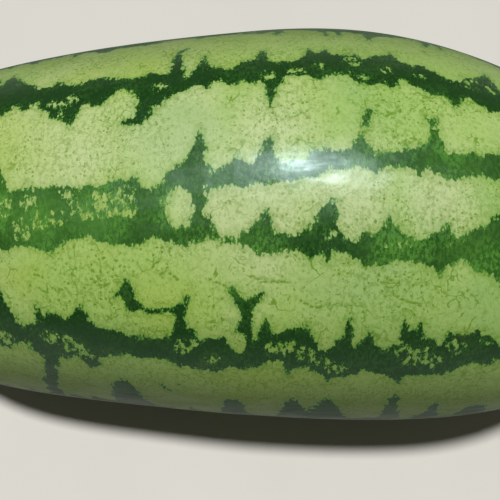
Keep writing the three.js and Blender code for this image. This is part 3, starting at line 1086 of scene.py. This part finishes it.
class MELON_OT_stem(bpy.types.Operator):
    """Builds the dry ribbed stub of the stem"""

    bl_idname = "melon.stem"
    bl_label = "Stem stub"

    def execute(self, context):
        form = context.scene.melon_form
        stem = context.scene.stem_form
        foot = -form.length / 2 + STEM_PIT[0] - FOOT_GAP
        knots = np.array([(foot - s * stem.length, y * MM, z * MM) for s, y, z in STEM_LINE])
        share = np.linspace(0, 1, STEM_RINGS)
        line = smooth_line(knots, share)
        along = np.gradient(line, axis=0)
        along /= np.linalg.norm(along, axis=1, keepdims=True)
        side = np.cross(along, (0, 0, 1))
        side /= np.linalg.norm(side, axis=1, keepdims=True)
        up = np.cross(side, along)

        angle = np.linspace(0, 2 * math.pi, STEM_COLUMNS, endpoint=False)[None, :]
        share = share[:, None]
        from_foot = share * stem.length
        random = np.random.default_rng(SEED)
        turned = angle + STEM_TWIST * share
        ridge = 0.5 + 0.5 * np.cos(stem.ribs * turned)
        fibre = sum(
            np.sin(count * turned + random.uniform(*ANY_PHASE) + FIBRE_SLANT * share)
            for count in FIBRE_COUNTS
        )
        fibre = np.clip(0.5 + 0.25 * fibre, 0, 1)
        flare = stem.foot_flare * np.exp(-from_foot / FLARE_HEIGHT)
        radius = stem.radius + flare + END_SWELL * share**3
        radius = radius * (GROOVE_SHARE + RIB_SHARE * ridge) - FIBRE_DEPTH * fibre
        rings = (
            line[:, None, :]
            + (radius * np.cos(angle))[..., None] * side[:, None, :]
            + (radius * np.sin(angle))[..., None] * up[:, None, :]
        )
        # The cut end closes in a few rings that dish a little towards the pith.
        width, rise = np.array(CUT_RINGS).T[:, :, None, None]
        cut = line[-1] + width * (rings[-1] - line[-1]) + rise * MM * along[-1]
        root = line[0] - ROOT_DEPTH * along[0]
        rings = np.concatenate([rings[:1] + root - line[0], rings, cut])
        points = closed(root - POLE_STEP * along[0], rings, line[-1] - POLE_STEP * along[-1])
        points = lie(form, points) - own_origin(form)

        green = np.broadcast_to(np.exp(-from_foot / GREEN_HEIGHT), ridge.shape)
        attributes = {}
        for key, values, pith in (("rib", ridge, 0.9), ("fibre", fibre, 0.35), ("foot", green, 0.0)):
            cut_values = np.full((len(CUT_RINGS), STEM_COLUMNS), pith)
            values = np.concatenate([values[:1], values, cut_values])
            attributes[key] = closed(values[0, 0], values[..., None], np.array(pith)).ravel()
        faces = grid_faces(len(rings) + 1, STEM_COLUMNS)
        stub = make_piece("melon_stem", points, faces, attributes)
        stub.data.materials.append(stem_material(context.scene.stem_colours))
        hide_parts("stem")
        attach(stub, "root")
        return {"FINISHED"}


class MELON_OT_studio(bpy.types.Operator):
    """Lays the floor, and sets up the light and the camera"""

    bl_idname = "melon.studio"
    bl_label = "Studio"

    def execute(self, context):
        scene = context.scene
        look = scene.studio_look
        corners = [(-1, -1), (1, -1), (1, 1), (-1, 1)]
        corners = [(x * FLOOR_HALF, y * FLOOR_HALF, 0) for x, y in corners]
        mesh = bpy.data.meshes.new("floor")
        mesh.from_pydata(corners, [], [(0, 1, 2, 3)])
        floor = bpy.data.objects.new("floor", mesh)
        floor.data.materials.append(floor_material(look.floor))
        context.collection.objects.link(floor)

        lamp = bpy.data.lights.new("ceiling_lamp", "SUN")
        lamp.angle = look.lamp_angle
        lamp.energy = look.lamp_strength
        lamp_object = bpy.data.objects.new("ceiling_lamp", lamp)
        lamp_object.rotation_euler = LAMP_TURN
        context.collection.objects.link(lamp_object)

        world = bpy.data.worlds.new("room")
        world.use_nodes = True
        tree = Tree(world.node_tree)
        background = tree.nodes["Background"].inputs
        background["Color"].default_value = (*look.room_colour, 1)
        seen = tree.add("ShaderNodeLightPath", {}, "Is Camera Ray")
        tree.feed(background["Strength"], tree.scaled(seen, look.backdrop, look.room_light))
        scene.world = world

        camera = bpy.data.cameras.new("camera")
        camera.lens = CAMERA_LENS
        camera.sensor_width = SENSOR_WIDTH
        camera_object = bpy.data.objects.new("camera", camera)
        camera_object.location = CAMERA_PLACE
        camera_object.rotation_euler = (math.radians(90 - CAMERA_DOWN), 0, 0)
        context.collection.objects.link(camera_object)
        scene.camera = camera_object
        scene.view_settings.view_transform = "Standard"
        return {"FINISHED"}


class MELON_PT_pieces(bpy.types.Panel):
    """Lists the pieces and what a user would change on them"""

    bl_idname = "MELON_PT_pieces"
    bl_label = "Watermelon"
    bl_space_type = "VIEW_3D"
    bl_region_type = "UI"
    bl_category = "Watermelon"

    def draw(self, context):
        scene = context.scene
        for operator, groups in (
            (MELON_OT_rind, (scene.melon_form, scene.rind_colours)),
            (MELON_OT_stem, (scene.stem_form, scene.stem_colours)),
            (MELON_OT_studio, (scene.studio_look,)),
        ):
            box = self.layout.box()
            box.operator(operator.bl_idname)
            for group in groups:
                for name in group.__annotations__:
                    box.prop(group, name)


GROUPS = {
    "melon_form": MelonForm,
    "stem_form": StemForm,
    "rind_colours": RindColours,
    "stem_colours": StemColours,
    "studio_look": StudioLook,
}
OPERATORS = (MELON_OT_rind, MELON_OT_stem, MELON_OT_studio)


def register():
    for name, group in GROUPS.items():
        bpy.utils.register_class(group)
        setattr(bpy.types.Scene, name, bpy.props.PointerProperty(type=group))
    for operator in (*OPERATORS, MELON_PT_pieces):
        bpy.utils.register_class(operator)


def unregister():
    for operator in (*OPERATORS, MELON_PT_pieces):
        bpy.utils.unregister_class(operator)
    for name, group in GROUPS.items():
        delattr(bpy.types.Scene, name)
        bpy.utils.unregister_class(group)


def main():
    register()
    bpy.ops.melon.rind()
    bpy.ops.melon.stem()
    bpy.ops.melon.studio()


if __name__ == "__main__":
    main()
